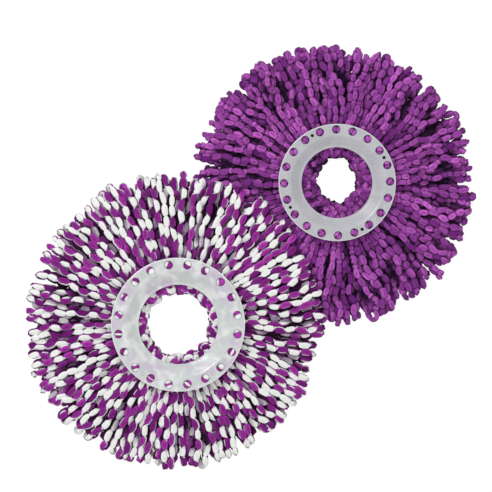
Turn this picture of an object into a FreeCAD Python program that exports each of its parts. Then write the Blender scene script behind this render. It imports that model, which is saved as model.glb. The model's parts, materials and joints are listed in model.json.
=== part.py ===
"""A pair of round refill heads for a spin mop, laid one on the other.

Each head is an upper ring, a carrier ring clamped under it, and twenty tufts of yarn. A tuft is
folded through its hole in the carrier ring: its loop fills the sight hole of the upper ring, its
root lies under the rings, a short inner fringe lies round the middle opening, and the long outer
fringe bends about a line just outside the ring.

Millimetres and degrees. +Z is up and z = 0 is the floor. The origin is the middle of the pair's
footprint.
"""
import FreeCAD, Part

import math
import os
from dataclasses import dataclass

from FreeCAD import Vector

UP = Vector(0, 0, 1)
CENTRE = Vector(0, 0, 0)

# ---------------------------------------------------------------- values shared by both heads
TUFTS = 20                  # tufts, carrier holes and sight holes in one head
CLEAR = 0.3                 # gap between two pieces of one head
BEND_CLEAR = 0.4            # gap between a root and the fringe that bends beside it
SIDE_CLEAR = 0.6            # gap between neighbouring fringes when they are fully bent
ROOT_GAP_DEG = 0.8          # gap between neighbouring roots, as an angle at the ring's centre
LOOP_RISE = 1.2             # height of a loop's dome
HOLE_ROUND = 0.7            # rounded edge of a sight hole
EDGE_ROUND = 0.8            # rounded outer edge of the flange
LIP_ROUND = 0.5             # rounded edge of the bore
SHOULDER_ROUND = 5.0        # where the flange turns down into the dish
DISH_ROUND = 3.0            # where the dish runs out into the lip
PIN_CLEAR = 0.15            # gap between a pin and its locating hole, all round
OVERSHOOT = 1.0             # how far a hole's cutter stands past the faces that it cuts
TIP_BEVEL = 1 / 3           # share of a fringe's end height that each of its bevels takes
TIP_CORNER = 1 / 2          # share of a fringe's half width that is cut off at its end corners

# ---------------------------------------------------------------- the lay of the pair
REAR_FROM_FRONT = Vector(159.3, 142.3, 0)   # from the front ring's axis to the rear ring's
LAY_CLEAR = 0.5             # gap between a fringe and the flattened fringe under it
REACH_MARGIN_DEG = 1.0      # a tuft that reaches the other head's fringe by less than this is free


@dataclass
class Head:
    """Sizes of one refill head."""
    name: str
    axis: Vector            # a point on the ring's axis, before the pair is centred
    ring_r: float           # outer edge of the flange
    bore_r: float           # bore that the mop's disc seats in
    shoulder_r: float       # inner edge of the flat flange, where the dish starts
    lip_w: float            # flat lip round the bore
    wall: float             # wall of the upper ring
    dish_depth: float       # from the top of the flange down to the top of the lip
    collar_h: float         # height of the bore's wall
    skirt_h: float          # height of the flange's turned-down outer edge
    skirt_w: float          # thickness of that edge
    hole_circle_r: float    # circle of the sight holes
    hole_r: float
    first_hole_deg: float
    pin_degs: tuple         # places of the locating pins
    pin_hole_r: float
    pin_recess: float       # from the top of the flange down to the end of a pin
    carrier_t: float        # thickness of the carrier ring
    carrier_inset: float    # from the shoulder out to the carrier ring's inner edge
    carrier_hole_r: float
    yarn_h: float           # height of the yarn under the ring
    yarn_inner_r: float     # opening in the middle of the inner fringe
    inner_tip_h: float      # height of the inner fringe at that opening
    fringe_r: float         # circle of the fringe's ends
    fringe_shift: float     # how far that circle is brushed off the ring's axis
    fringe_shift_deg: float
    tip_h: float            # height of the fringe at its ends
    flat_h: float           # height of a fringe where the other head's fringe lies on it
    bend_deg: float         # most that a fringe bends from its rest pose

    # ---- places that follow from the sizes above
    @property
    def carrier_z(self):
        return self.yarn_h + CLEAR

    @property
    def flange_z(self):
        """Underside of the flange."""
        return self.carrier_z + self.carrier_t + CLEAR

    @property
    def top_z(self):
        return self.flange_z + self.wall

    @property
    def lip_z(self):
        """Top of the lip."""
        return self.top_z - self.dish_depth

    @property
    def lip_r(self):
        return self.bore_r + self.lip_w

    @property
    def inner_h(self):
        """Top of the inner fringe, just under the bore's collar."""
        return self.lip_z - self.collar_h - CLEAR

    @property
    def carrier_r(self):
        """Outer edge of the carrier ring, inside the skirt."""
        return self.ring_r - self.skirt_w - CLEAR

    @property
    def carrier_bore_r(self):
        """Inner edge of the carrier ring, outside the dish."""
        return self.shoulder_r + self.carrier_inset

    @property
    def loop_r(self):
        return self.carrier_hole_r - CLEAR

    @property
    def root_r(self):
        """Outer end of the roots: just outside the loops."""
        return self.hole_circle_r + self.loop_r

    def bend_r(self, half):
        """Distance from the ring's axis to the bend line of a fringe of this half height."""
        return self.root_r + BEND_CLEAR + half

    def hole_deg(self, index):
        return self.first_hole_deg + index * 360.0 / TUFTS

    def fringe_end_r(self, deg):
        """Distance of the fringe's end from the ring's axis, in one direction."""
        return self.fringe_r + self.fringe_shift * math.cos(math.radians(deg - self.fringe_shift_deg))


FRONT = Head(
    name="front", axis=CENTRE,
    ring_r=67.0, bore_r=39.8, shoulder_r=53.5, lip_w=2.6, wall=2.0,
    dish_depth=8.0, collar_h=4.5, skirt_h=3.0, skirt_w=1.2,
    hole_circle_r=60.3, hole_r=4.35, first_hole_deg=9.0,
    pin_degs=(54.0, 126.0, 234.0, 306.0), pin_hole_r=1.9, pin_recess=0.1,
    carrier_t=2.2, carrier_inset=1.6, carrier_hole_r=3.9,
    yarn_h=18.0, yarn_inner_r=31.0, inner_tip_h=7.0,
    fringe_r=145.0, fringe_shift=7.5, fringe_shift_deg=130.0,
    tip_h=9.0, flat_h=8.9, bend_deg=55.0)

REAR = Head(
    name="rear", axis=REAR_FROM_FRONT,
    ring_r=58.8, bore_r=35.5, shoulder_r=47.0, lip_w=2.3, wall=1.8,
    dish_depth=7.0, collar_h=4.0, skirt_h=2.6, skirt_w=1.0,
    hole_circle_r=53.1, hole_r=4.1, first_hole_deg=1.0,
    pin_degs=(28.0, 118.0, 208.0, 298.0), pin_hole_r=1.65, pin_recess=1.4,
    carrier_t=2.0, carrier_inset=1.7, carrier_hole_r=3.5,
    yarn_h=16.0, yarn_inner_r=20.5, inner_tip_h=6.0,
    fringe_r=138.0, fringe_shift=4.0, fringe_shift_deg=200.0,
    tip_h=8.5, flat_h=8.4, bend_deg=50.0)


# ---------------------------------------------------------------- small helpers
def polygon_face(points):
    """A flat face with straight edges through (x, z) points, in the plane y = 0."""
    corners = [Vector(x, 0, z) for x, z in points]
    return Part.Face(Part.makePolygon(corners + corners[:1]))


def circle_edges(shape, radius, z):
    """Edges that are full circles about the z axis, of this radius and at this height."""
    found = []
    for edge in shape.Edges:
        curve = edge.Curve
        if not isinstance(curve, Part.Circle):
            continue
        on_axis = math.hypot(curve.Center.x, curve.Center.y) < 1e-6
        if on_axis and abs(curve.Radius - radius) < 1e-6 and abs(curve.Center.z - z) < 1e-6:
            found.append(edge)
    return found


def hole_edges(shape, radius, z):
    """Circles of this radius at this height, wherever they are."""
    return [edge for edge in shape.Edges
            if isinstance(edge.Curve, Part.Circle)
            and abs(edge.Curve.Radius - radius) < 1e-6
            and abs(edge.Curve.Center.z - z) < 1e-6]


def at_polar(shape, radius, deg):
    """A copy moved out along +X by radius and turned about the z axis."""
    placed = shape.copy()
    placed.translate(Vector(radius, 0, 0))
    placed.rotate(CENTRE, UP, deg)
    return placed


def all_round(head, shape, radius):
    """One copy of a shape for each tuft, as a group of separate solids."""
    return Part.makeCompound([at_polar(shape, radius, head.hole_deg(i)) for i in range(TUFTS)])


def upright(radius, z_low, z_high):
    return Part.makeCylinder(radius, z_high - z_low, Vector(0, 0, z_low))


# ---------------------------------------------------------------- the rings
def upper_ring(head):
    """Flange with a turned-down edge, a dish that slopes to the lip, and the bore's collar."""
    wall = head.wall
    skirt_z = head.top_z - head.skirt_h
    collar_z = head.lip_z - head.collar_h
    slope = math.atan2(head.dish_depth, head.shoulder_r - head.lip_r)
    offset = wall * math.tan(slope / 2)     # keeps the dish's wall as thick as the flange
    ring = polygon_face([
        (head.ring_r, skirt_z),
        (head.ring_r, head.top_z),
        (head.shoulder_r, head.top_z),
        (head.lip_r, head.lip_z),
        (head.bore_r, head.lip_z),
        (head.bore_r, collar_z),
        (head.bore_r + wall, collar_z),
        (head.bore_r + wall, head.lip_z - wall),
        (head.lip_r + offset, head.lip_z - wall),
        (head.shoulder_r + offset, head.flange_z),
        (head.ring_r - head.skirt_w, head.flange_z),
        (head.ring_r - head.skirt_w, skirt_z),
    ]).revolve(CENTRE, UP, 360)
    rounds = [
        (SHOULDER_ROUND, head.shoulder_r, head.top_z),
        (DISH_ROUND, head.lip_r, head.lip_z),
        (LIP_ROUND, head.bore_r, head.lip_z),
        (EDGE_ROUND, head.ring_r, head.top_z),
    ]
    for size, radius, z in rounds:
        ring = ring.makeFillet(size, circle_edges(ring, radius, z))
    low = head.flange_z - OVERSHOOT
    high = head.top_z + OVERSHOOT
    sight = upright(head.hole_r, low, high)
    locate = upright(head.pin_hole_r, low, high)
    holes = [at_polar(sight, head.hole_circle_r, head.hole_deg(i)) for i in range(TUFTS)]
    holes += [at_polar(locate, head.hole_circle_r, deg) for deg in head.pin_degs]
    ring = ring.cut(holes)
    return ring.makeFillet(HOLE_ROUND, hole_edges(ring, head.hole_r, head.top_z))


def carrier_ring(head):
    """Flat ring with a hole for each tuft and the pins that locate the upper ring."""
    z_low = head.carrier_z
    z_high = z_low + head.carrier_t
    ring = upright(head.carrier_r, z_low, z_high).cut(upright(head.carrier_bore_r, z_low, z_high))
    hole = upright(head.carrier_hole_r, z_low - OVERSHOOT, z_high + OVERSHOOT)
    ring = ring.cut([at_polar(hole, head.hole_circle_r, head.hole_deg(i)) for i in range(TUFTS)])
    pin = upright(head.pin_hole_r - PIN_CLEAR, z_low, head.top_z - head.pin_recess)
    ring = ring.fuse([at_polar(pin, head.hole_circle_r, deg) for deg in head.pin_degs])
    return ring.removeSplitter()


# ---------------------------------------------------------------- the yarn
def loop(head):
    """The loop of a tuft: up through the carrier ring and domed in the sight hole."""
    dome_z = head.top_z - LOOP_RISE
    stem = upright(head.loop_r, head.yarn_h, dome_z)
    ball_r = (head.loop_r ** 2 + LOOP_RISE ** 2) / (2 * LOOP_RISE)
    ball = Part.makeSphere(ball_r, Vector(0, 0, head.top_z - ball_r))
    dome = ball.common(upright(head.loop_r, dome_z, head.top_z))
    return stem.fuse(dome).removeSplitter()


def sector(points):
    """A ring's sector for one tuft, lying along +X, with this (radius, z) section."""
    span = 360.0 / TUFTS - ROOT_GAP_DEG
    section = polygon_face(points)
    section.rotate(CENTRE, UP, -span / 2)
    return section.revolve(CENTRE, UP, span)


def tuft_root(head):
    """The yarn of one tuft under the rings, from the lip out to the loop."""
    return sector([
        (head.lip_r, 0),
        (head.lip_r, head.inner_h),
        (head.shoulder_r, head.yarn_h),
        (head.root_r, head.yarn_h),
        (head.root_r, 0),
    ])


def inner_fringe(head):
    """The short ends of one tuft, from the lip in to the middle opening."""
    outer_r = head.lip_r - CLEAR
    return sector([
        (head.yarn_inner_r, 0),
        (head.yarn_inner_r, head.inner_tip_h),
        (outer_r, head.inner_h),
        (outer_r, 0),
    ])


def fringe(head, deg, z_low, z_high, z_tip):
    """The free part of one tuft, lying along deg.

    Its inner end is a half-round about the bend line. Its sides leave SIDE_CLEAR between
    neighbours when all the fringes of the head are bent as far as they go.
    """
    half = (z_high - z_low) / 2
    bend_r = head.bend_r(half)
    length = head.fringe_end_r(deg) - bend_r
    bevel = (z_tip - z_low) * TIP_BEVEL
    low_a = Vector(0, 0, z_low)
    low_b = Vector(length - bevel, 0, z_low)
    tip_a = Vector(length, 0, z_low + bevel)
    tip_b = Vector(length, 0, z_tip - bevel)
    high_b = Vector(length - bevel, 0, z_tip)
    high_a = Vector(0, 0, z_high)
    inner = Vector(-half, 0, z_low + half)
    side_view = Part.Face(Part.Wire([
        Part.LineSegment(low_a, low_b).toShape(),
        Part.LineSegment(low_b, tip_a).toShape(),
        Part.LineSegment(tip_a, tip_b).toShape(),
        Part.LineSegment(tip_b, high_b).toShape(),
        Part.LineSegment(high_b, high_a).toShape(),
        Part.Arc(high_a, inner, low_a).toShape(),
    ]))
    bend = math.radians(head.bend_deg)
    spread = math.tan(math.radians(180.0 / TUFTS))
    start_w = spread * (bend_r - half * math.sin(bend)) - SIDE_CLEAR / 2
    widen = spread * math.cos(bend)

    def half_width(x):
        return start_w + widen * x

    corner = half_width(length) * TIP_CORNER
    outline = [
        (-half, half_width(-half)),
        (length - corner / 2, half_width(length - corner / 2)),
        (length, half_width(length) - corner),
    ]
    outline += [(x, -y) for x, y in reversed(outline)]
    corners = [Vector(x, y, z_low) for x, y in outline]
    plan = Part.Face(Part.makePolygon(corners + corners[:1]))
    widest = half_width(length)
    side_view.translate(Vector(0, -widest, 0))
    solid = side_view.extrude(Vector(0, 2 * widest, 0)).common(plan.extrude(UP * (z_high - z_low)))
    return at_polar(solid, bend_r, deg)


# ---------------------------------------------------------------- how the two fringes meet
def meets_other(head, other, index):
    """True where a tuft's sector reaches into the circle of the other head's fringe."""
    between = other.axis - head.axis
    reach = head.fringe_r + head.fringe_shift
    other_reach = other.fringe_r + other.fringe_shift
    gap = between.Length
    cosine = (reach ** 2 + gap ** 2 - other_reach ** 2) / (2 * reach * gap)
    if cosine >= 1:
        return False
    half_lens = math.degrees(math.acos(cosine))
    toward = math.degrees(math.atan2(between.y, between.x))
    away = abs((head.hole_deg(index) - toward + 180) % 360 - 180)
    return away < half_lens + 180.0 / TUFTS - REACH_MARGIN_DEG


def fringes(head, other, lies_on_top):
    """All the fringes of a head, flattened or raised where the two heads overlap."""
    made = []
    for index in range(TUFTS):
        deg = head.hole_deg(index)
        if not meets_other(head, other, index):
            z_low, z_high, z_tip = 0, head.yarn_h, head.tip_h
        elif lies_on_top:
            z_low = other.flat_h + LAY_CLEAR
            z_high = z_tip = head.yarn_h
        else:
            z_low, z_high, z_tip = 0, head.flat_h, head.flat_h
        made.append(fringe(head, deg, z_low, z_high, z_tip))
    return made


def head_nodes(head, other, lies_on_top):
    """Every node of one head, by name."""
    nodes = {
        head.name + "_upper_ring": upper_ring(head),
        head.name + "_carrier_ring": carrier_ring(head),
        head.name + "_tuft_loops": all_round(head, loop(head), head.hole_circle_r),
        head.name + "_tuft_roots": all_round(head, tuft_root(head), 0),
        head.name + "_inner_fringe": all_round(head, inner_fringe(head), 0),
    }
    for index, shape in enumerate(fringes(head, other, lies_on_top)):
        nodes["%s_tuft_%02d" % (head.name, index + 1)] = shape
    for shape in nodes.values():
        shape.translate(head.axis)
    return nodes


def footprint_middle(shapes):
    box = Part.makeCompound(shapes).optimalBoundingBox()
    return Vector(box.Center.x, box.Center.y, 0)


nodes = head_nodes(FRONT, REAR, True)
nodes.update(head_nodes(REAR, FRONT, False))
middle = footprint_middle(list(nodes.values()))

os.makedirs("parts", exist_ok=True)
for name, shape in nodes.items():
    shape.translate(-middle)
    shape.exportStep("parts/%s.step" % name)

for head in (FRONT, REAR):
    place = head.axis - middle
    print("%s ring axis at %.4f, %.4f; flange top %.2f; lip top %.2f"
          % (head.name, place.x, place.y, head.top_z, head.lip_z))
print("nodes", len(nodes), "valid", all(shape.isValid() for shape in nodes.values()))
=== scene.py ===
import json
import math
from dataclasses import dataclass, field

import bpy
import numpy as np
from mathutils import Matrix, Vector


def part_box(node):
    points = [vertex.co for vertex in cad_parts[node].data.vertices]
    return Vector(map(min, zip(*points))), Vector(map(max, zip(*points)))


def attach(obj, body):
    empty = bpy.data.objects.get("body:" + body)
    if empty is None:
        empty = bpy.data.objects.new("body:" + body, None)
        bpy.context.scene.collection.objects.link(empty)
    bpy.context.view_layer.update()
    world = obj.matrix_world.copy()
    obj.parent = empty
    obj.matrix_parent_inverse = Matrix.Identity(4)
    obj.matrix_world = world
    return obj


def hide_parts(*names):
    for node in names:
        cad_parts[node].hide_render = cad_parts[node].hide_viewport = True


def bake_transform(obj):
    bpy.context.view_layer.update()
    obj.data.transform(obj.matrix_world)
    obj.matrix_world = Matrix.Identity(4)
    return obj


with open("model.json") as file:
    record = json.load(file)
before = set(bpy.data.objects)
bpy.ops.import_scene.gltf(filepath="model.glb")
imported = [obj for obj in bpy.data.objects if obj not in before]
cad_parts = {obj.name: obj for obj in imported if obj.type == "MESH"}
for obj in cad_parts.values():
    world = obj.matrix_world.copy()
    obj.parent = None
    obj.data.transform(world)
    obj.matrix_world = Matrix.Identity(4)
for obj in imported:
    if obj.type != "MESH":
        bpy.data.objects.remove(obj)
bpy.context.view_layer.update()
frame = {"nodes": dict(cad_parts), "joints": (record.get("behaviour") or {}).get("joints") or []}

# A pair of round spin mop refill heads. The yarn is worked out in millimetres in each head's own
# frame, with the ring's axis at the origin, and moved into the row's frame when a mesh is made.
MM = 0.001
TUFTS = 20
SECTOR = 2 * math.pi / TUFTS
UP = np.array([0.0, 0.0, 1.0])
LAY_HEIGHT = 8.9        # top of the rear fringe where the front one lies on it


# ---------- the two heads
@dataclass
class Yarn:
    """One kind of two-ply beaded yarn. Lengths are in millimetres."""
    pitch: float        # length of one bead
    half_width: float   # of one ply at the middle of a bead
    half_thick: float
    neck: float         # radius of one ply between two beads
    ply_offset: float   # from the yarn's middle line to a ply, at the middle of a bead
    neck_offset: float  # the same between two beads
    bluntness: float    # 2 for a bead with an oval outline, more for blunter ends
    flatness: float     # 1 for a bead with an oval section, less for a flatter top
    crease: float       # depth of the hollow along a bead, as a share of its thickness
    lively: float       # share of the yarns that turn their other ply up at most beads
    flip: float         # chance of such a turn at a bead
    first_up: tuple     # share of beads that show the first ply: in a yarn that is not lively,
                        # and in any yarn on its way back under the others
    lean: tuple         # least and most angle by which the plies lie beside each other
    uneven: float       # how much the beads differ in length and width
    end_bead: float     # how near the middle of a bead comes to the yarn's turn: 1 is on it
    late: float         # how far one ply's beads lag in a yarn that is not lively, in beads
    shade: tuple        # how much yarns, and beads of one yarn, differ in tone
    neck_shade: float   # how much painted shade darkens the necks between beads
    edge_shade: float   # how much painted shade darkens the sides of a ply
    lay_width: float    # room that one yarn takes among the others
    lay_thick: float

    @property
    def half_height(self):
        return self.half_thick + self.ply_offset


@dataclass
class Head:
    """One refill head. Lengths are in millimetres."""
    name: str
    body: str
    seed: int
    first_deg: float    # direction of the first tuft
    low_strands: int    # yarns of one tuft that lie spread out on the ground
    top_strands: int    # yarns of one tuft that lie over them
    clumping: float     # how far the yarns of a tuft draw together at their ends
    whole: float        # share of the tufts that do not part into two clumps
    sweep: float        # how far clumps lean sideways, in radians
    lobe: float         # how much shorter the yarns at the sides of a clump are
    ripple: float       # small waves of single yarns
    hold: float         # how firmly they keep together while the others push them
    swing: tuple        # sideways waves of a clump and of a single yarn
    wander: float       # how far a yarn changes its place in its tuft on the way out
    end_r: float        # circle of the fringe's ends
    end_shift: float    # how far that circle is brushed off the ring's axis
    end_shift_deg: float
    end_spread: float   # unevenness of the ends
    low_short: float    # how much shorter the low yarns are
    closed: tuple       # how far a yarn's two halves come towards each other at its end
    inner_r: tuple      # how near the inner loops come to the ring's axis
    shoulder_r: float   # where the ring's flange turns down into its dish
    hole_circle_r: float  # circle of the sight holes
    hole_r: float
    hole_plies: tuple   # numbers of plies in a sight hole, to choose from
    blend_len: float    # length over which the yarn bends outside the ring
    slot: str
    shaded: tuple       # depth in the pile at which painted shade starts, and is darkest
    inner_shaded: tuple   # the same for the inner loops
    yarn: Yarn
    inner_wide: float = 0.0     # how much further the inner loops stop short, in one direction
    inner_wide_deg: float = 0.0
    # The rest is measured in the frame, except the materials.
    centre: Vector = None
    ring_r: float = 0.0
    ring_top: float = 0.0
    yarn_top: float = 0.0
    inner_top: float = 0.0
    lip_r: float = 0.0
    materials: list = field(default_factory=list)

    @property
    def strands(self):
        return self.low_strands + self.top_strands

    def tuft_angle(self, index):
        return math.radians(self.first_deg) + index * SECTOR

    def fringe_end(self, angle):
        return self.end_r + self.end_shift * np.cos(angle - math.radians(self.end_shift_deg))

    def measure(self):
        """Takes the ring's place and size from the frame."""
        low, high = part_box(self.name + "_upper_ring")
        self.centre = Vector(((low.x + high.x) / 2, (low.y + high.y) / 2, 0))
        self.ring_r = (high.x - low.x) / 2 / MM
        self.ring_top = high.z / MM
        self.yarn_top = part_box(self.name + "_tuft_roots")[1].z / MM
        low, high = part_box(self.name + "_inner_fringe")
        self.inner_top = high.z / MM
        self.lip_r = (high.x - low.x) / 2 / MM


FRONT_YARN = Yarn(
    pitch=11.4, half_width=3.2, half_thick=1.6, neck=1.1, ply_offset=1.05, neck_offset=0.8,
    bluntness=2.1, flatness=0.8, crease=0.16, lively=0.85, flip=0.92, first_up=(0.35, 0.75),
    lean=(0.4, 0.65), uneven=0.12, end_bead=0.0, late=0.0, shade=(0.4, 0.6), neck_shade=0.0,
    edge_shade=0.35, lay_width=7.3, lay_thick=4.8)
REAR_YARN = Yarn(
    pitch=10.0, half_width=3.1, half_thick=1.8, neck=0.9, ply_offset=1.2, neck_offset=0.8,
    bluntness=2.1, flatness=0.9, crease=0.14, lively=0.6, flip=0.8, first_up=(0.2, 0.2),
    lean=(0.3, 0.8), uneven=0.18, end_bead=1.0, late=0.5, shade=(0.43, 0.6), neck_shade=0.5,
    edge_shade=0.85, lay_width=6.2, lay_thick=4.6)

FRONT = Head(
    name="front", body="front_head", seed=11, first_deg=9.0, low_strands=11, top_strands=5,
    clumping=0.05, whole=0.2, sweep=0.02, lobe=2.0, ripple=0.7, hold=0.05, swing=(3.0, 1.8),
    wander=0.08, end_r=145.5, end_shift=6.0, end_shift_deg=145.0, end_spread=1.4, low_short=1.0,
    closed=(0.45, 0.2), inner_r=(31.0, 36.5), shoulder_r=53.5, hole_circle_r=60.3, hole_r=4.35,
    hole_plies=(2, 2, 3, 3), blend_len=22.0, slot="yarn_front", shaded=(1.5, 4.1),
    inner_shaded=(2.5, 7.0), yarn=FRONT_YARN)
REAR = Head(
    name="rear", body="root", seed=23, first_deg=1.0, low_strands=14, top_strands=8,
    clumping=0.30, whole=0.7, sweep=0.04, lobe=8.0, ripple=1.1, hold=0.10, swing=(3.4, 4.4),
    wander=0.5, end_r=137.3, end_shift=4.0, end_shift_deg=200.0, end_spread=1.3, low_short=1.0,
    closed=(0.4, 0.25), inner_r=(19.5, 29.0), shoulder_r=47.0, hole_circle_r=53.1, hole_r=4.1,
    hole_plies=(2, 2, 3), blend_len=20.0, slot="yarn_rear", shaded=(1.2, 5.6),
    inner_shaded=(0.3, 4.0), yarn=REAR_YARN, inner_wide=7.5, inner_wide_deg=95.0)
FRONT.measure()
REAR.measure()


# ---------- materials
HOLLOW_SHADE = 0.75      # how far a bead's hollow takes the colour of its middle, as painted shade
# Noise values between which the yarn's streaks come in, and the plastic's clouds, spots and grain.
STREAKS, CLOUDS, SPOTS, GRAIN = (0.38, 0.68), (0.42, 0.62), (0.50, 0.68), (0.3, 0.7)
ROUGH_SPREAD = 0.05     # how far the grain changes the roughness
HIGHLIGHT_RIM_WIDTHS = (1.1, 0.5)  # from the ring's edge to where its painted highlight starts, and is full


def add_object(name, data):
    made = bpy.data.objects.new(name, data)
    bpy.context.scene.collection.objects.link(made)
    return made


def new_material(name):
    material = bpy.data.materials.new(name)
    material.use_nodes = True
    tree = material.node_tree
    return material, tree, tree.nodes["Principled BSDF"]


def set_inputs(tree, node, inputs):
    """Gives inputs of a node their values, or links them to output sockets."""
    for key, value in inputs.items():
        if isinstance(value, bpy.types.NodeSocket):
            tree.links.new(value, node.inputs[key])
        else:
            node.inputs[key].default_value = value


def add_node(tree, kind, inputs=None, **settings):
    node = tree.nodes.new(kind)
    for key, value in settings.items():
        setattr(node, key, value)
    set_inputs(tree, node, inputs or {})
    return node


def mixed_colour(tree, factor, first, second, blend="MIX"):
    return add_node(tree, "ShaderNodeMix", {0: factor, 6: first, 7: second},
                    data_type="RGBA", blend_type=blend).outputs[2]


def mixed_shader(tree, factor, first, second):
    return add_node(tree, "ShaderNodeMixShader", {0: factor, 1: first, 2: second}).outputs[0]


def noise(tree, vector, scale, detail=3.0, roughness=0.5):
    inputs = {"Vector": vector, "Scale": scale, "Detail": detail, "Roughness": roughness}
    return add_node(tree, "ShaderNodeTexNoise", inputs).outputs["Fac"]


def remap(tree, value, low, high, new_low=0.0, new_high=1.0):
    inputs = {"Value": value, "From Min": low, "From Max": high,
              "To Min": new_low, "To Max": new_high}
    return add_node(tree, "ShaderNodeMapRange", inputs).outputs["Result"]


def attribute(tree, name, output="Fac"):
    return add_node(tree, "ShaderNodeAttribute", attribute_name=name).outputs[output]


def add_bump(tree, shader, height, strength, distance):
    inputs = {"Height": height, "Strength": strength, "Distance": distance}
    bump = add_node(tree, "ShaderNodeBump", inputs)
    set_inputs(tree, shader, {"Normal": bump.outputs["Normal"]})


def srgb(red, green, blue):
    """A linear colour from 0-255 display values."""
    def linear(value):
        value /= 255
        return value / 12.92 if value <= 0.04045 else ((value + 0.055) / 1.055) ** 2.4
    return (linear(red), linear(green), linear(blue), 1.0)


def yarn_material(name, rim, middle, deep, worn, sheen_tint, streaks):
    """Microfibre yarn. Painted shade darkens each bead's hollow middle, so that its rim is lighter,
    and darkens the yarn far down in the pile, at the necks and on the sides of the plies. worn
    is the tone that some beads take, and streaks how plainly the pile shows."""
    material, tree, shader = new_material(name)
    place = attribute(tree, "yarn", "Vector")
    pile = noise(tree, place, 1.0, detail=4.0, roughness=0.65)
    base = mixed_colour(tree, attribute(tree, "tone"), rim, worn)
    # Painted shade in each bead's hollow: the colour turns towards middle there.
    hollow = remap(tree, attribute(tree, "fold"), 0, 1, 0.0, HOLLOW_SHADE)
    base = mixed_colour(tree, hollow, base, middle)
    base = mixed_colour(tree, remap(tree, pile, *STREAKS, 0.0, streaks), base, middle)
    # Painted shade: the shade colour is multiplied in where the yarn would lie in shade.
    base = mixed_colour(tree, attribute(tree, "deep"), base, deep, "MULTIPLY")
    set_inputs(tree, shader, {
        "Base Color": base, "Roughness": 0.85, "Specular IOR Level": 0.12, "Sheen Weight": 0.12,
        "Sheen Roughness": 0.45, "Sheen Tint": sheen_tint})
    fluff = noise(tree, place, 1.8, detail=5.0, roughness=0.7)
    add_bump(tree, shader, fluff, strength=0.6, distance=0.0006)
    return material


def ring_material(name, head, colours, through, roughness, shine=0.9):
    """Moulded plastic with faint clouds, paler spots and a painted highlight along its rim. through
    is the share of the light that it lets pass."""
    colour, cloud, spot, rim = colours
    material, tree, shader = new_material(name)
    place = add_node(tree, "ShaderNodeTexCoord").outputs["Object"]
    clouds = remap(tree, noise(tree, place, 50.0, detail=1.0), *CLOUDS)
    spots = remap(tree, noise(tree, place, 85.0, detail=1.0), *SPOTS)
    base = mixed_colour(tree, clouds, colour, cloud)
    base = mixed_colour(tree, spots, base, spot)
    flat = add_node(tree, "ShaderNodeVectorMath", {0: place, 1: (1, 1, 0)}, operation="MULTIPLY")
    away = add_node(tree, "ShaderNodeVectorMath", {0: flat.outputs[0], 1: head.centre},
                    operation="DISTANCE").outputs["Value"]
    starts, full = ((head.ring_r - width) * MM for width in HIGHLIGHT_RIM_WIDTHS)
    # Painted highlight along the ring's outer edge.
    base = mixed_colour(tree, remap(tree, away, starts, full), base, rim)
    grain = remap(tree, noise(tree, place, 900.0), *GRAIN,
                  roughness - ROUGH_SPREAD, roughness + ROUGH_SPREAD)
    set_inputs(tree, shader, {
        "Base Color": base, "Transmission Weight": through, "IOR": 1.45,
        "Specular IOR Level": shine, "Roughness": grain})
    add_bump(tree, shader, noise(tree, place, 1500.0, detail=2.0), strength=0.12, distance=0.0002)
    return material


# The darkest colour given to each yarn is its painted shade.
PURPLE = yarn_material(
    "purple_ply", rim=srgb(208, 76, 203), middle=srgb(98, 16, 100), deep=srgb(22, 3, 28),
    worn=srgb(106, 16, 110), sheen_tint=(0.9, 0.6, 0.9, 1), streaks=0.30)
WHITE = yarn_material(
    "white_ply", rim=srgb(252, 252, 251), middle=srgb(228, 232, 226), deep=srgb(142, 114, 148),
    worn=srgb(246, 248, 244), sheen_tint=(1, 1, 1, 1), streaks=0.30)
VIOLET = yarn_material(
    "violet_ply", rim=srgb(254, 136, 254), middle=srgb(112, 32, 124), deep=srgb(40, 6, 52),
    worn=srgb(106, 32, 118), sheen_tint=(0.9, 0.6, 0.95, 1), streaks=0.60)
# Colours of a ring: its own, its clouds, its paler spots and the painted highlight along its rim.
FROSTED = srgb(210, 216, 214), srgb(207, 198, 213), srgb(235, 237, 236), srgb(248, 248, 248)
SATIN = srgb(188, 189, 194), srgb(183, 183, 190), srgb(194, 195, 199), srgb(225, 225, 227)
# The rear carrier ring is black so that its pins show as black dots in their holes: the black
# stands in for the shade in those recesses.
BLACK = srgb(10, 10, 11), srgb(14, 14, 15), srgb(12, 12, 13), srgb(14, 14, 15)
FRONT.materials = [PURPLE, WHITE]
REAR.materials = [VIOLET, VIOLET]


# ---------- how the yarn lies
STATION = 5.0           # spacing of the circles at which the yarns are held apart
FIRST_STATION = 0.68    # the innermost one's share of the ring's radius
LAST_STATION = 20       # how far the outermost may lie past the fringe's end
SETTLE_STEPS = 90
SINK = 0.22             # how far a yarn drops in one step
PUSH = 0.22             # how strongly yarns that overlap push each other
TOP_GIVE, LOW_GIVE = 0.7, 0.25  # how far a push moves a top yarn and a low one sideways
RISE_GIVE = 1.4         # how far it moves either up or down
LOW_HOLD = 6            # how much more firmly the low yarns keep their places
STRAIGHTEN = 0.30       # how far a yarn straightens in one step
NEIGHBOURS = 9          # how many places along a circle a yarn looks for others
SPARE_SHORT = 4.5       # how much shorter the yarns that lie low all their way are

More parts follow.
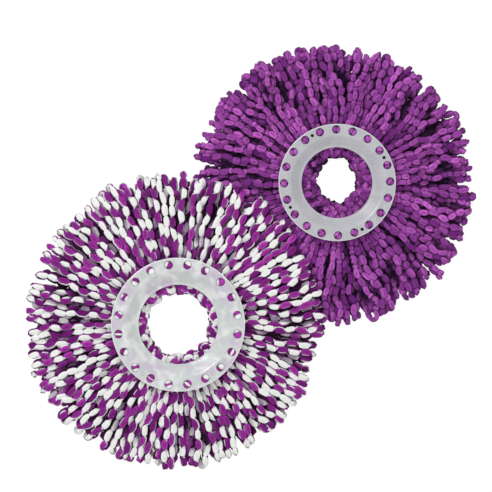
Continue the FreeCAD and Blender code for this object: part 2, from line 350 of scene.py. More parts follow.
TUFT_SPREAD = 0.98      # share of its sector that a tuft takes
PARTING = 0.25          # how far from its middle a tuft may part into two clumps
FIRMNESS = (0.5, 1.4)   # how much clumps differ in how far they draw together
DRAW = (2, 25)          # how far past the ring that starts, and before the end it is full
LOW_SWING = 0.3         # share of the sideways waves that the low yarns take
SWINGS = ((0.65, 0.045), (0.35, 0.10))  # share and wave number of each sideways wave
LONE_WAVE = 1.3         # how much shorter a single yarn's waves are than its clump's
FREE_LENGTH = 30        # length past the ring over which waves and ripples grow
TOP_RANK, LOW_RANK = (0.35, 1), (0, 0.25)  # shares of the pile's height from which they sink
DROOP = 0.3             # how much lower they start at the fringe's end
RIPPLES = (0.17, 0.26)  # wave numbers of the ripples
RIPPLE_RISE = 0.4       # their height against their width

SWELL, SWELL_LENGTH = 3.5, 12  # how far the pile may swell past the ring
LIFTED = (-12, 4)       # where past its ring's edge the upper fringe starts to lift, and is up
CLIMB = (-2, 10)        # where past the lower fringe's end it is still up, and back down
PRESSED = (-4, 8)       # where past the upper fringe's end the lower one is pressed down, and free
UPPER_PLAY, LOWER_PLAY = 1, 0.2  # least room of the two fringes up and down
LAY_GAP = 0.6           # room between the two
CROWDING, CROWD_LENGTH = 0.16, 20  # how much thinner yarn is where the tufts crowd


def smoothstep(low, high, value):
    share = np.clip((value - low) / (high - low), 0, 1)
    return share * share * (3 - 2 * share)


def ramp(edge, span, value):
    """A smooth step between two distances from an edge."""
    return smoothstep(edge + span[0], edge + span[1], value)


def polar(radius, angle, z):
    return np.stack([radius * np.cos(angle), radius * np.sin(angle), z], axis=-1)


def height_limits(head, other, lies_on_top, radius, angle, half):
    """Lowest and highest middle line of a yarn of this half height."""
    low = half + np.zeros(angle.shape)
    under_ring = np.interp(radius, (head.lip_r, head.shoulder_r), (head.inner_top, head.yarn_top))
    rise = SWELL * smoothstep(head.ring_r, head.ring_r + SWELL_LENGTH, radius)
    high = under_ring + rise - half + np.zeros(angle.shape)
    apart = (other.centre - head.centre) / MM
    distance = np.hypot(radius * np.cos(angle) - apart.x, radius * np.sin(angle) - apart.y)
    if lies_on_top:
        over = 1 - ramp(other.end_r, CLIMB, distance)
        low = low + over * LAY_HEIGHT * ramp(head.ring_r, LIFTED, radius)
        high = np.maximum(high, low + UPPER_PLAY)
    else:
        under = 1 - ramp(other.end_r, PRESSED, distance)
        ceiling = LAY_HEIGHT - LAY_GAP - half
        high = high + (ceiling - high) * under
        high = np.maximum(high, low + LOWER_PLAY)
    return low, high


def squeeze(head, radius):
    """How much thinner the yarn is where the tufts crowd under the ring's edge."""
    return 1 - CROWDING * np.exp(-((radius - head.ring_r) / CROWD_LENGTH) ** 2)


def clumps(head, tuft, place, rng):
    """The clump of each yarn: its number, and its middle and half width as angles in the tuft. A
    tuft is one clump, or parts into two."""
    whole = np.repeat(rng.random(TUFTS) < head.whole, head.strands)
    split = np.repeat(rng.uniform(-PARTING, PARTING, TUFTS), head.strands)
    side = np.where(place > split, 1, -1)
    middle = SECTOR * np.where(whole, 0, (split + 0.5 * side) / 2)
    half = SECTOR * np.where(whole, 0.5, (0.5 - split * side) / 2)
    return tuft * 2 + (~whole & (side > 0)), middle, half


def push_apart(angle, height, alive, radius, width, thick):
    """How far the yarns that overlap push each other along each circle, and up or down."""
    order = np.argsort(angle, axis=1)
    a = np.take_along_axis(angle, order, 1)
    z = np.take_along_axis(height, order, 1)
    live = np.take_along_axis(alive, order, 1)
    push_a = np.zeros(a.shape)
    push_z = np.zeros(z.shape)
    for step in range(1, NEIGHBOURS + 1):
        across = (np.roll(a, -step, 1) - a) * radius
        across[:, -step:] += 2 * math.pi * radius
        up = np.roll(z, -step, 1) - z
        near = np.sqrt((across / width) ** 2 + (up / thick) ** 2) + 1e-6
        both = live & np.roll(live, -step, 1)
        part = np.where(both & (near < 1), (1 - near) / near * PUSH, 0)
        move_a = across * part
        move_z = up * part
        push_a += np.roll(move_a, step, 1) - move_a
        push_z += np.roll(move_z, step, 1) - move_z
    back = np.argsort(order, axis=1)
    return np.take_along_axis(push_a, back, 1), np.take_along_axis(push_z, back, 1)


def settle(head, other, lies_on_top):
    """How the fringe's yarns lie: the circles, each yarn's angle and height at each of them, how
    far out it ends, and its tuft. The yarns start where their clumps would have them, then sink
    and push each other apart."""
    rng = np.random.default_rng(head.seed)
    yarn = head.yarn
    outermost = head.end_r + head.end_shift + LAST_STATION
    radius = np.arange(head.ring_r * FIRST_STATION, outermost, STATION)[:, None]
    width = yarn.lay_width * squeeze(head, radius)
    thick = yarn.lay_thick * squeeze(head, radius)
    half = yarn.half_height * squeeze(head, radius)
    count = TUFTS * head.strands
    tuft = np.repeat(np.arange(TUFTS), head.strands)
    middle = math.radians(head.first_deg) + tuft * SECTOR
    rows = [(np.arange(n) + 0.5) / n - 0.5 for n in (head.low_strands, head.top_strands)]
    place = np.tile(np.concatenate(rows), TUFTS)
    on_top = np.tile(np.arange(head.strands) >= head.low_strands, TUFTS)
    way = smoothstep(head.ring_r, head.end_r, radius)
    outside = smoothstep(head.ring_r, head.ring_r + FREE_LENGTH, radius)

    # Sideways: where each yarn would lie if none pushed it.
    offset = SECTOR * TUFT_SPREAD * (
        place + rng.uniform(-1, 1, count) * head.wander * on_top * way)
    clump_id, clump, clump_half = clumps(head, tuft, place, rng)
    firm = rng.uniform(*FIRMNESS, 2 * TUFTS)[clump_id]
    drawn = smoothstep(head.ring_r + DRAW[0], head.end_r - DRAW[1], radius)
    draw = head.clumping * firm * drawn * on_top
    aim = middle + offset * (1 - draw) + clump * draw
    aim = aim + rng.normal(0, head.sweep, 2 * TUFTS)[clump_id] * way * way * on_top
    free = outside * np.where(on_top, 1, LOW_SWING)
    for share, waves in SWINGS:
        together = np.sin(radius * waves + rng.uniform(0, 2 * math.pi, 2 * TUFTS)[clump_id])
        alone = np.sin(radius * waves * LONE_WAVE + rng.uniform(0, 2 * math.pi, count))
        aim = aim + share * (head.swing[0] * together + head.swing[1] * alone) * free / radius

    # Outwards: where each yarn ends.
    aside = np.abs(SECTOR * place - clump) / clump_half
    ends = (head.fringe_end(middle + clump) + rng.normal(0, head.end_spread, 2 * TUFTS)[clump_id]
            + rng.normal(0, head.end_spread, count) - head.low_short * ~on_top
            - head.lobe * aside ** 2)
    alive = radius <= ends + STATION

    # Upwards: where each yarn starts to sink.
    rank = np.where(on_top, rng.uniform(*TOP_RANK, count), rng.uniform(*LOW_RANK, count))
    height = half + rank * (head.yarn_top - 2 * half) * (1 - DROOP * way)

    angle = aim.copy()
    give = np.where(on_top, TOP_GIVE, LOW_GIVE)
    firmly = np.where(on_top, 1, LOW_HOLD)
    for _ in range(SETTLE_STEPS):
        low, high = height_limits(head, other, lies_on_top, radius, angle, half)
        height = np.clip(height - SINK, low, high)
        push_a, push_z = push_apart(angle, height, alive, radius, width, thick)
        angle = angle + push_a / radius * give
        angle += (aim - angle) * head.hold * firmly
        height = height + push_z * RISE_GIVE
        for line in (angle, height):
            line[1:-1] += STRAIGHTEN * (line[:-2] + line[2:] - 2 * line[1:-1])
    for wave in RIPPLES:
        ripples = [np.sin(radius * wave + rng.uniform(0, 2 * math.pi, count)) for _ in range(2)]
        angle = angle + head.ripple * ripples[0] * outside / radius
        height = height + RIPPLE_RISE * head.ripple * ripples[1] * outside
    low, high = height_limits(head, other, lies_on_top, radius, angle, half)
    return radius[:, 0], angle, np.clip(height, low, high), ends, tuft


class Pile:
    """Height of the top of the yarn over the ground, on a square grid. It sets the painted shade
    far down in the pile.
    """
    CELL = 2.0
    REACH = 170.0
    SPREAD = 2              # cells by which each yarn's top is widened
    # DARKEST is the most painted shade that a point takes.
    DARKEST = 0.96
    UNDERSIDE = (-1, 2.5)   # heights between which the weaker painted shade of the underside gives way
    END_LENGTH = 25         # length of the end of the fringe, where the painted shade is weaker
    KEPT = 0.5              # share of its painted shade that the yarn keeps at both

    def __init__(self, shaded, end_r):
        """shaded is how far under the pile's top the painted shade starts, and is darkest."""
        size = int(2 * self.REACH / self.CELL)
        self.top = np.zeros((size, size))
        self.shaded = shaded
        self.end_r = end_r

    def cell(self, x, y):
        last = len(self.top) - 1
        return tuple(np.clip(((v + self.REACH) / self.CELL).astype(int), 0, last) for v in (x, y))

    def add(self, points):
        np.maximum.at(self.top, self.cell(points[:, 0], points[:, 1]), points[:, 2])

    def close(self):
        """Widens each top, then smooths the whole."""
        wide = self.top.copy()
        for i in range(-self.SPREAD, self.SPREAD + 1):
            for j in range(-self.SPREAD, self.SPREAD + 1):
                wide = np.maximum(wide, np.roll(self.top, (i, j), (0, 1)))
        for axis in (0, 1):
            wide = (np.roll(wide, 1, axis) + 2 * wide + np.roll(wide, -1, axis)) / 4
        self.top = wide

    def depth(self, points):
        """How much painted shade a point takes: 0 at the top of the pile, nearly 1 far down in it,
        and less at its underside and its end.
        """
        x, y, z = points.T
        below = self.top[self.cell(x, y)] - z
        end = smoothstep(self.end_r - self.END_LENGTH, self.end_r, np.hypot(x, y))
        return (self.DARKEST * smoothstep(*self.shaded, below)
                * (self.KEPT + (1 - self.KEPT) * smoothstep(*self.UNDERSIDE, z))
                * (1 - (1 - self.KEPT) * end))


# ---------- yarn meshes
# Directions of the points round a ply. They lie closer together at its top, where the hollow is.
ROUND = np.radians([-90, -38, 2, 34, 63, 90, 117, 146, 178, 218])
RING = len(ROUND)
CREASE_SPREAD = 0.45    # half the angle that a bead's hollow takes round its section
HOLLOW_FOCUS = 3        # how closely the hollow keeps to the middle of a bead
NECK_FOCUS = 1.5        # how closely the painted shade of the necks keeps to the ends of the beads
EDGE_SPREAD = 0.55      # how far up a ply the painted shade on its sides reaches
FIBRE_STRETCH = 0.3     # how wide the pile's streaks are, against their length
GRAIN_RANGE = 1000      # keeps the streaks of one ply unlike another's
RINGS_PER_BEAD = 10
BEAD_STEPS = (1 - np.cos(math.pi * np.arange(RINGS_PER_BEAD) / RINGS_PER_BEAD)) / 2
TURN_LENGTH = 0.16      # share of a bead over which the plies turn, at each of its ends
LEAN_SPREAD = 0.12      # how much the beads of one yarn differ in their lean
QUIET_LEAN = 0.5        # how far a yarn that is not lively leans, against the others
FACE_LEAN = 0.4         # how far a bead's face leans, against its place by the other ply
LAG_SPREAD = 0.06       # how far one ply's beads lag in a lively yarn
GROWTH = 0.6            # how far a bead may grow, against how far it may shrink
TURN_THIN, TURN_THIN_LENGTH = 0.15, 4  # how much thinner the yarn is where it turns
DARK_SIDES = (3, 18)    # how far from the turn the painted shade on a ply's sides starts, and is full
TURN_SIDES = 0.15       # how plain that painted shade is before that


def curve_through(points, distance):
    """Points of a smooth curve at these distances along it, and its directions there."""
    step = np.linalg.norm(np.diff(points, axis=0), axis=1)
    reach = np.concatenate([[0], np.cumsum(step)])
    slopes = np.gradient(points, reach, axis=0)
    distance = np.clip(distance, 0, reach[-1])
    part = np.clip(np.searchsorted(reach, distance, side="right") - 1, 0, len(step) - 1)
    span = step[part][:, None]
    u = ((distance - reach[part]) / step[part])[:, None]
    p0, p1 = points[part], points[part + 1]
    m0, m1 = slopes[part] * span, slopes[part + 1] * span
    place = ((2 * u ** 3 - 3 * u ** 2 + 1) * p0 + (u ** 3 - 2 * u ** 2 + u) * m0
             + (-2 * u ** 3 + 3 * u ** 2) * p1 + (u ** 3 - u ** 2) * m1)
    slope = ((6 * u ** 2 - 6 * u) * p0 + (3 * u ** 2 - 4 * u + 1) * m0
             + (-6 * u ** 2 + 6 * u) * p1 + (3 * u ** 2 - 2 * u) * m1)
    return place, slope / np.linalg.norm(slope, axis=1)[:, None]


def bead_ends(yarn, length, rng):
    """Where the beads of a yarn of this length end, along it."""
    beads = math.ceil(length / (yarn.pitch * (1 - yarn.uneven))) + 3
    sizes = rng.uniform(1 - yarn.uneven, 1 + yarn.uneven, beads)
    ends = yarn.pitch * (np.concatenate([[0], np.cumsum(sizes)]) - 1 - rng.random())
    middles = (ends[:-1] + ends[1:]) / 2
    ends += yarn.end_bead * (length / 2 - middles[np.argmin(np.abs(middles - length / 2))])
    return ends


def bead_turns(yarn, ends, length, low, lively, rng):
    """Which ply is up at each bead: 0 for the first."""
    if lively:
        turn = (np.cumsum(rng.random(len(ends)) < yarn.flip) + rng.integers(0, 2)) % 2
    else:
        turn = rng.random(len(ends)) > yarn.first_up[0]
    under = ends > (0 if low else length / 2)
    return np.where(under, rng.random(len(ends)) > yarn.first_up[1], turn)


def turned(angles, place, part, lift, side):
    """Direction from the yarn's middle line to its first ply, which turns from the angle of one
    bead to the next's. place is the bead, and part how far along it the direction is taken."""
    entry = 0.5 * (1 - smoothstep(0, TURN_LENGTH, part))
    leave = 0.5 * smoothstep(1 - TURN_LENGTH, 1.0, part)
    phi = (angles[place] * (1 - entry - leave) + angles[np.maximum(place - 1, 0)] * entry
           + angles[place + 1] * leave)
    return np.cos(phi)[:, None] * lift + np.sin(phi)[:, None] * side


class YarnMesh:
    """Collects the plies of many yarns into one mesh."""

    def __init__(self):
        self.verts, self.faces, self.material = [], [], []
        self.tone, self.fold, self.neck, self.edge, self.grain = [], [], [], [], []
        self.count = 0

    def add_ply(self, centre, wide, thick, half_w, half_t, bulge, tone, grain, yarn, slot, dark):
        """One closed ply: rings of points about a line, with their two half sizes. dark is how
        plainly painted shade darkens its sides."""
        rings = len(centre)
        fold = bulge ** HOLLOW_FOCUS
        dent = np.exp(-((ROUND - math.pi / 2) / CREASE_SPREAD) ** 2)
        cos = np.cos(ROUND)
        sin = np.sin(ROUND)
        across = half_w[:, None] * np.sign(cos) * np.abs(cos) ** yarn.flatness
        out = half_t[:, None] * np.sign(sin) * np.abs(sin) ** yarn.flatness
        out = out * (1 - yarn.crease * fold[:, None] * dent)
        points = (centre[:, None, :] + across[:, :, None] * wide[:, None, :]
                  + out[:, :, None] * thick[:, None, :])
        index = self.count + np.arange(rings * RING).reshape(rings, RING)
        a, b = index[:-1], index[1:]
        quads = np.stack([a, np.roll(a, -1, 1), np.roll(b, -1, 1), b], axis=2).reshape(-1, 4)
        self.faces += quads.tolist()
        self.faces += [index[0][::-1].tolist(), index[-1].tolist()]
        self.material += [slot] * (len(quads) + 2)
        self.verts.append(points.reshape(-1, 3))
        # fold shapes each bead's hollow and sets its painted shade.
        self.fold.append((fold[:, None] * dent).reshape(-1))
        self.tone.append(np.repeat(tone, RING))
        # Painted shade in the necks between beads.
        self.neck.append(np.repeat((1 - bulge) ** NECK_FOCUS, RING))
        # Painted shade on the sides of the ply, where its surface faces sideways.
        normal = ((cos / half_w[:, None])[:, :, None] * wide[:, None, :]
                  + (sin / half_t[:, None])[:, :, None] * thick[:, None, :])
        upward = normal[:, :, 2] / np.linalg.norm(normal, axis=2)
        sides = np.exp(-(upward / EDGE_SPREAD) ** 2)
        self.edge.append(((dark * np.sqrt(bulge))[:, None] * sides).reshape(-1))
        strand = np.full(rings * RING, grain[0])
        self.grain.append(np.stack([np.repeat(grain[1], RING) * FIBRE_STRETCH,
                                    across.reshape(-1), strand], axis=1))
        self.count += rings * RING

    def add_yarn(self, points, head, rng, low=False, inner=False):
        """A two-ply yarn along a line. Each ply stays on its own side of the yarn's middle line
        and swells over it, or under it, at each bead. low is true for yarn that lies under the
        rest all its way, and inner for the loops in the ring's bore."""
        yarn = head.yarn
        length = np.linalg.norm(np.diff(points, axis=0), axis=1).sum()
        ends = bead_ends(yarn, length, rng)
        beads = len(ends) - 1
        lively = rng.random() < yarn.lively
        turn = bead_turns(yarn, ends, length, low, lively, rng)
        lean = rng.uniform(*yarn.lean) * rng.choice([-1, 1]) * (1 if lively else QUIET_LEAN)
        lean = lean + rng.normal(0, LEAN_SPREAD, beads + 1)
        place_turn = math.pi * turn + np.where(turn > 0, -lean, lean)
        face_turn = math.pi * turn + np.where(turn > 0, -lean, lean) * FACE_LEAN
        shade = yarn.shade[0] * (1 - rng.random() ** 2)
        lag = rng.normal(0, LAG_SPREAD) if lively else yarn.late
        for slot, sign, shift in ((0, 1.0, 0.0), (1, -1.0, lag)):
            steps = (np.arange(-1, beads)[:, None] + BEAD_STEPS[None, :]).reshape(-1) + shift
            reach = np.interp(steps, np.arange(beads + 1), ends)
            kept = (steps >= 0) & (steps <= beads) & (reach >= 0) & (reach <= length)
            steps, reach = steps[kept], reach[kept]
            from_turn = np.abs(reach - length / 2)
            centre, forward = curve_through(points, reach)
            thin = squeeze(head, np.hypot(centre[:, 0], centre[:, 1]))
            if not inner:
                thin = thin * (1 - TURN_THIN * np.exp(-(from_turn / TURN_THIN_LENGTH) ** 2))
            side = np.cross(forward, UP)
            side /= np.linalg.norm(side, axis=1)[:, None]
            lift = np.cross(side, forward)
            place = np.minimum(steps.astype(int), beads - 1)
            part = steps - place
            bead = np.floor(steps - shift).astype(int) + 1
            from_middle = np.clip(np.abs(2 * (steps - shift - np.floor(steps - shift)) - 1), 0, 1)
            bulge = (1 - from_middle ** yarn.bluntness) ** (1 / yarn.bluntness)
            size = rng.uniform(1 - yarn.uneven, 1 + yarn.uneven * GROWTH, beads + 2)[bead]
            half_w = (yarn.neck + (yarn.half_width * size - yarn.neck) * bulge) * thin
            half_t = (yarn.neck + (yarn.half_thick * size - yarn.neck) * bulge) * thin
            away = (yarn.neck_offset + (yarn.ply_offset - yarn.neck_offset) * bulge) * thin
            outward = sign * turned(place_turn, place, part, lift, side)
            thick = sign * turned(face_turn, place, part, lift, side)
            wide = np.cross(thick, forward)
            tone = shade + rng.uniform(0, yarn.shade[1], beads + 2)[bead]
            grain = (rng.uniform(0, GRAIN_RANGE), reach)
            # The painted shade on the sides is weaker near the yarn's turn at the fringe's end.
            dark = np.maximum(smoothstep(*DARK_SIDES, from_turn), 1 if inner else TURN_SIDES)
            self.add_ply(centre + away[:, None] * outward, wide, thick, half_w, half_t, bulge,
                         tone, grain, yarn, slot, dark)

    def build(self, name, head, depth):
        """The mesh. depth gives the painted shade that each point takes, from 0 to 1."""
        # lit is what is left of the colour after the painted shade at the necks and on the sides.
        lit = ((1 - np.concatenate(self.neck) * head.yarn.neck_shade)
               * (1 - np.concatenate(self.edge) * head.yarn.edge_shade))
        mesh = bpy.data.meshes.new(name)
        points = np.concatenate(self.verts)
        mesh.from_pydata((points * MM + np.array(head.centre)).tolist(), [], self.faces)
        for material in head.materials:
            mesh.materials.append(material)
        mesh.polygons.foreach_set("material_index", self.material)
        mesh.polygons.foreach_set("use_smooth", [True] * len(self.faces))
        for key, values in (("tone", np.concatenate(self.tone)),
                            ("fold", np.concatenate(self.fold)),
                            # painted shade from the pile, the necks and the sides of the plies
                            ("deep", 1 - (1 - depth(points)) * lit)):
            layer = mesh.attributes.new(key, "FLOAT", "POINT")
            layer.data.foreach_set("value", values.astype(np.float32))
        layer = mesh.attributes.new("yarn", "FLOAT_VECTOR", "POINT")
        layer.data.foreach_set("vector", np.concatenate(self.grain).astype(np.float32).ravel())
        mesh.update()
        piece = add_object(name, mesh)
        return piece


def piled(meshes, shaded, end_r=2 * Pile.REACH):
    """The pile that these meshes make together."""
    pile = Pile(shaded, end_r)
    for mesh in meshes:
        for points in mesh.verts:
            pile.add(points)
    pile.close()
    return pile


# ---------- the fringe
CLOSING = (18, 3)       # how far from its end a yarn's halves start to close, and stop
TURN_REACH = 2.0        # how far the turn at a yarn's end reaches, at least
TURN_POINTS = 7
ORDER_STATION = -6      # circle at which the yarns of a tuft are put in order
SHORTEST_STEP = 0.3     # least share of a station that a yarn's last step takes


def end_loop(out, back):
    """Points of the turn from the end of one yarn to the end of the next one beside it."""
    gap = back[-1] - out[-1]
    middle = (out[-1] + back[-1]) / 2
    ahead = out[-1] - out[-2]
    ahead /= np.linalg.norm(ahead)
    reach = max(np.linalg.norm(gap) / 2, TURN_REACH)
    turn = np.linspace(0, math.pi, TURN_POINTS)[1:-1]
    return middle - np.outer(np.cos(turn), gap / 2) + np.outer(np.sin(turn) * reach, ahead)


def drawn_together(pair, radius, end, shares):
    """Angles of the two halves of a yarn, which come nearer each other towards its end."""
    first, second = pair.T
    near = smoothstep(end - CLOSING[0], end - CLOSING[1], radius)
    return first + (second - first) * shares[0] * near, second + (first - second) * shares[1] * near


def yarn_line(radius, angle, height, end):
    """Points of a yarn from under the ring to its end."""
    line = polar(radius, angle, height)
    reach = np.interp(end, radius, np.arange(len(radius)))
    cut = int(reach)
    if reach - cut < SHORTEST_STEP:
        return line[:cut + 1]
    tip = line[cut] + (line[cut + 1] - line[cut]) * (reach - cut)
    return np.concatenate([line[:cut + 1], tip[None, :]])


def halves(members, angle, head, rng):
    """Pairs of a tuft's lines that make one yarn each, and whether both lie low. Each top line
    goes with a low one. The low lines that are left over go with each other."""
    lows, tops = (group[np.argsort(angle[ORDER_STATION, group])]
                  for group in (members[:head.low_strands], members[head.low_strands:]))
    rng.shuffle(lows)
    spare = np.sort(lows[len(tops):])
    lows = lows[:len(tops)]
    lows = lows[np.argsort(angle[ORDER_STATION, lows])]
    return ([(*pair, False) for pair in zip(tops, lows)]
            + [(*pair, True) for pair in zip(spare[::2], spare[1::2])])


def fringe_tufts(head, other, lies_on_top):
    """One mesh for each tuft, hung on the head's body unless the tuft is a joint's child. A yarn
    goes out to the fringe's end, turns and comes back beside itself."""
    radius, angle, height, ends, tuft = settle(head, other, lies_on_top)
    rng = np.random.default_rng(head.seed + 100)
    free = {joint["child"] for joint in frame["joints"]}
    meshes = []
    for index in range(TUFTS):
        mesh = YarnMesh()
        for first, second, low in halves(np.nonzero(tuft == index)[0], angle, head, rng):
            end = ends[first] - (SPARE_SHORT if low else 0)
            turns = drawn_together(angle[:, (first, second)], radius, end, head.closed)
            out = yarn_line(radius, turns[0], height[:, first], end)
            back = yarn_line(radius, turns[1], height[:, second], end)
            mesh.add_yarn(np.concatenate([out, end_loop(out, back), back[::-1]]), head, rng, low)
        meshes.append(mesh)
    pile = piled(meshes, head.shaded, head.end_r)
    for index, mesh in enumerate(meshes):
        node = "%s_tuft_%02d" % (head.name, index + 1)
        piece = mesh.build(node + "_yarn", head, pile.depth)
        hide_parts(node)
        if node in free:
            towards = head.tuft_angle(index)
            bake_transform(piece)
        else:
            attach(piece, head.body)


# ---------- inside the ring
LOOPS = 4               # inner loops of one tuft. The first half of them lie low
LOOP_POINTS = 9
LOOP_SHIFT = 0.2        # how far a loop may lie beside its place, as a share of its sector
LOW_LOOP_REACH = 4.5    # how much the low loops differ in how near they come
LOW_LOOP_Z = (3.2, 5.0)
LOOP_CLEAR = 0.8        # from the yarn's top to the highest loops, in a yarn's half heights
HIGH_LOOP_DROP = 2.5    # how far under those the other high loops may lie
LOOP_SPREAD = (3.0, 4.6)  # half the width of a loop
LOOP_OUTER = 0.80       # where the loops start, as a share of the ring's radius
LOOP_BLUNT = 2.2        # how flat a loop's inner end is
LOOP_FLARE = 2.5        # how much further out its two sides come
LOOP_OPEN = 0.6         # how soon they stand apart
CURLS = (4, 7)          # how much a loop curls on its way, in radians
CURL_PHASE = 6
CURL_WIDTH = 1.8        # how far it curls sideways, against up and down
LOOP_TILT = 1.2         # how far one of its sides may lie over the other
WIDE_FOCUS = 12         # how narrow the direction is in which the loops stop short
HIGH_WIDE = 0.4         # how far the high loops do so, against the low ones


def inner_loops(head):
    """Short loops that lie under the ring and show inside its bore."""
    rng = np.random.default_rng(head.seed + 200)
    mesh = YarnMesh()
    top = head.inner_top - head.yarn.half_height * LOOP_CLEAR
    near, far = head.inner_r
    outer = head.ring_r * LOOP_OUTER
    turn = np.linspace(-1, 1, LOOP_POINTS)
    out = np.abs(turn) ** LOOP_BLUNT
    for index in range(TUFTS):
        for row in range(LOOPS):
            place = rng.uniform(-LOOP_SHIFT, LOOP_SHIFT) + row % 2 / 2 - 0.25
            angle = head.tuft_angle(index) + SECTOR * place
            low = row < LOOPS / 2
            wide = math.cos((angle - math.radians(head.inner_wide_deg)) / 2) ** WIDE_FOCUS
            if low:
                apex = rng.uniform(near, near + LOW_LOOP_REACH) + head.inner_wide * wide
                z = rng.uniform(*LOW_LOOP_Z)
            else:
                apex = rng.uniform((near + far) / 2, far) + head.inner_wide * wide * HIGH_WIDE
                z = rng.uniform(top - HIGH_LOOP_DROP, top)
            spread = rng.uniform(*LOOP_SPREAD)
            r = apex + (outer - apex) * out + LOOP_FLARE * (turn ** 2)
            side = spread * np.sign(turn) * np.abs(turn) ** LOOP_OPEN / r
            curl = np.sin(turn * rng.uniform(*CURLS) + rng.uniform(0, CURL_PHASE)) * (1 - out)
            tilt = rng.uniform(-LOOP_TILT, LOOP_TILT) * turn
            line = polar(r, angle + side + CURL_WIDTH * curl / r, z + tilt + curl + out)
            mesh.add_yarn(line, head, rng, inner=True)
    pile = piled([mesh], head.inner_shaded)
    piece = mesh.build(head.name + "_inner_yarn", head, pile.depth)
    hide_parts(head.name + "_inner_fringe", head.name + "_tuft_roots")
    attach(piece, head.body)


HOLE_GAP = 0.1          # room between the yarn and the wall of a sight hole
HOLE_POINTS = 11
HOLE_UNEVEN = 0.5       # how much the plies in a hole differ in width, and their edges bend
LEAST_CHORD = 1.0       # square of half a ply's least length
CROWN_DROP = 1.4        # from the ring's top down to the highest yarn in a hole
CROWN_UNEVEN = 0.7      # how much further down it may be
CROWN_SLOPE = 0.15      # and is towards the sides of the hole
DIVE = 4.2              # how far a ply goes down to its ends
HOLE_THICK = 1.3        # half thickness of a ply
HOLE_SIZE = (0.7, 0.3)  # its size at its ends, and how much more it has at its top
HOLE_BULGE = 0.6        # how plain its hollow, with the hollow's painted shade, is against a bead's
HOLE_TONES = (0.1, 0.7)
HOLE_GRAIN = 4          # half the length of a ply, for its streaks
HOLE_DARK = 0.8         # how plainly painted shade darkens its sides
HOLE_SHADED = (2.0, 5.0)  # depth at which painted shade starts on the yarn, and is darkest


def sight_loops(head):
    """The domed loop of yarn in each sight hole: plies side by side across the hole."""
    rng = np.random.default_rng(head.seed + 300)
    mesh = YarnMesh()
    fit = head.hole_r - HOLE_GAP
    sweep = np.linspace(-1, 1, HOLE_POINTS) * math.pi / 2
    arch = np.cos(sweep)
    reach = np.sin(sweep)
    size = HOLE_SIZE[0] + HOLE_SIZE[1] * arch
    for index in range(TUFTS):
        middle = polar(head.hole_circle_r, head.tuft_angle(index), 0.0)
        lean = rng.uniform(0, math.pi)
        along = np.array([math.cos(lean), math.sin(lean), 0])
        across = np.array([-math.sin(lean), math.cos(lean), 0])
        plies = rng.choice(head.hole_plies)
        cuts = np.linspace(-1, 1, plies + 1)
        cuts[1:-1] += rng.uniform(-HOLE_UNEVEN, HOLE_UNEVEN, plies - 1) / plies
        bends = np.zeros(plies + 1)
        bends[1:-1] = rng.uniform(-HOLE_UNEVEN, HOLE_UNEVEN, plies - 1) / plies
        slot = int(rng.integers(0, 2))
        for k in range(plies):
            shift = fit * (cuts[k] + cuts[k + 1]) / 2
            half = fit * (cuts[k + 1] - cuts[k] + (bends[k + 1] - bends[k]) * arch) / 2
            aside = fit * (bends[k] + bends[k + 1]) / 2 * arch
            chord = math.sqrt(max(fit ** 2 - shift ** 2, LEAST_CHORD))
            crown = (head.ring_top - CROWN_DROP - CROWN_UNEVEN * rng.random()
                     - CROWN_SLOPE * abs(shift))
            line = (middle + np.outer(shift + aside, across) + np.outer(chord * reach, along)
                    + np.outer(crown - DIVE * (1 - arch), UP))
            forward = np.gradient(line, axis=0)
            forward /= np.linalg.norm(forward, axis=1)[:, None]
            wide = np.repeat(across[None, :], HOLE_POINTS, 0)
            thick = np.cross(forward, wide)
            thick *= np.sign(thick[HOLE_POINTS // 2, 2])
            tone = np.full(HOLE_POINTS, rng.uniform(*HOLE_TONES))
            grain = (rng.uniform(0, GRAIN_RANGE), HOLE_GRAIN * reach)
            mesh.add_ply(line, wide, thick, half * size, HOLE_THICK * size, HOLE_BULGE * arch,
                         tone, grain, head.yarn, slot, np.full(HOLE_POINTS, HOLE_DARK))
            slot = 1 - slot
    # Painted shade that grows with the depth under the ring's top.
    piece = mesh.build(head.name + "_sight_yarn", head,
                       lambda points: smoothstep(*HOLE_SHADED, head.ring_top - points[:, 2]))
    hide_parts(head.name + "_tuft_loops")
    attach(piece, head.body)


# ---------- camera and light
VIEW_WIDTH = 0.492      # width of the ground that the camera sees
VIEW_FROM_FRONT_RING = Vector((0.0680, 0.0787, 0))  # the view's middle, from that ring's axis
CAMERA_HEIGHT = 2.6
SENSOR = 36.0
WORLD_LIGHT = 0.69      # strength of the background as a light, against how it is seen
FLOOR_HALF = 3.0
FLOOR_DROP = 0.0002     # keeps the ground clear of the yarn that lies on it
FLOOR_GREY = 0.86
FLOOR_GLOW = 1.05
GLOW_SHARE = 0.90       # share of the glow in the ground. The rest shows the shadows


def add_camera():
    data = bpy.data.cameras.new("camera")
    data.sensor_width = SENSOR
    ring_top = FRONT.ring_top * MM
    data.lens = SENSOR * (CAMERA_HEIGHT - ring_top) / VIEW_WIDTH
    data.clip_end = 20
    camera = add_object("camera", data)
    camera.location = FRONT.centre + VIEW_FROM_FRONT_RING + Vector((0, 0, CAMERA_HEIGHT))
    bpy.context.scene.camera = camera


def add_lamp(name, place, size, power):
    """A round lamp that faces the origin."""
    data = bpy.data.lights.new(name, "AREA")
    data.shape = "DISK"
    data.size = size
    data.energy = power
    lamp = add_object(name, data)
    lamp.location = place
    lamp.rotation_euler = (-Vector(place)).to_track_quat("-Z", "Y").to_euler()


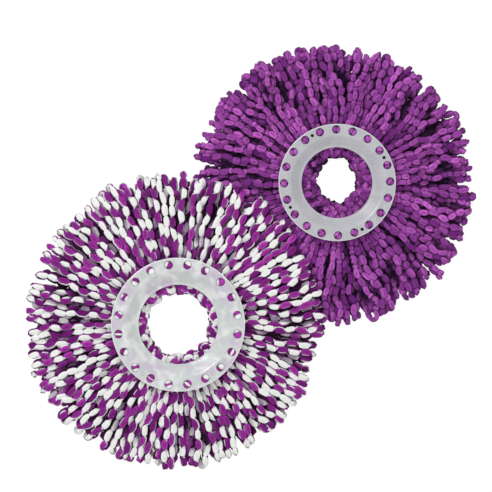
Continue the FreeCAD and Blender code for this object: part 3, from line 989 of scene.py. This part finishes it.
def seen_or_mirrored(tree):
    """1 for a ray that shows the background: from the camera, mirrored or through the plastic."""
    path = add_node(tree, "ShaderNodeLightPath").outputs
    total = path["Is Camera Ray"]
    for name in ("Is Glossy Ray", "Is Transmission Ray"):
        total = add_node(tree, "ShaderNodeMath", {0: total, 1: path[name]},
                         operation="MAXIMUM").outputs[0]
    return total


def add_world():
    """White where it is seen, and a softer light on the part."""
    world = bpy.data.worlds.new("studio")
    bpy.context.scene.world = world
    world.use_nodes = True
    tree = world.node_tree
    tree.nodes.clear()
    light, seen = (add_node(tree, "ShaderNodeBackground",
                            {"Color": (1, 1, 1, 1), "Strength": strength}).outputs[0]
                   for strength in (WORLD_LIGHT, 1.0))
    shown = mixed_shader(tree, seen_or_mirrored(tree), light, seen)
    add_node(tree, "ShaderNodeOutputWorld", {"Surface": shown})


def add_floor():
    """White ground that keeps a faint shadow."""
    mesh = bpy.data.meshes.new("floor")
    corners = [(x * FLOOR_HALF, y * FLOOR_HALF, 0) for x, y in ((-1, -1), (1, -1), (1, 1), (-1, 1))]
    mesh.from_pydata(corners, [], [(0, 1, 2, 3)])
    floor = add_object("floor", mesh)
    floor.location.z = -FLOOR_DROP
    material, tree, _ = new_material("floor")
    tree.nodes.clear()
    grey = (FLOOR_GREY, FLOOR_GREY, FLOOR_GREY, 1)
    matt = add_node(tree, "ShaderNodeBsdfDiffuse", {"Color": grey}).outputs[0]
    glow = add_node(tree, "ShaderNodeEmission", {"Strength": FLOOR_GLOW}).outputs[0]
    seen = mixed_shader(tree, GLOW_SHARE, matt, glow)
    shown = mixed_shader(tree, seen_or_mirrored(tree), matt, seen)
    add_node(tree, "ShaderNodeOutputMaterial", {"Surface": shown})
    mesh.materials.append(material)


# ---------- the making
add_camera()
add_world()
add_floor()
add_lamp("key", (-1.0, 1.1, 1.7), size=0.6, power=16)
add_lamp("fill", (1.2, -0.8, 1.6), size=1.2, power=4)
add_lamp("low", (-1.6, 1.6, 0.75), size=0.8, power=3)
bpy.context.scene.view_settings.view_transform = "Standard"

for head, other, lies_on_top in ((FRONT, REAR, True), (REAR, FRONT, False)):
    fringe_tufts(head, other, lies_on_top)
    inner_loops(head)
    sight_loops(head)

front_plastic = ring_material("frosted_plastic", FRONT, FROSTED, through=0.10, roughness=0.15)
rear_plastic = ring_material("satin_plastic", REAR, SATIN, through=0.08, roughness=0.28)
# Black carrier ring: its pins show black in their holes, standing in for the shade there.
black_plastic = ring_material("black_plastic", REAR, BLACK, through=0.0, roughness=0.5, shine=0.2)
for node, plastic in (("front_upper_ring", front_plastic), ("front_carrier_ring", front_plastic),
                      ("rear_upper_ring", rear_plastic), ("rear_carrier_ring", black_plastic)):
    for slot in frame["nodes"][node].material_slots:
        slot.material = plastic
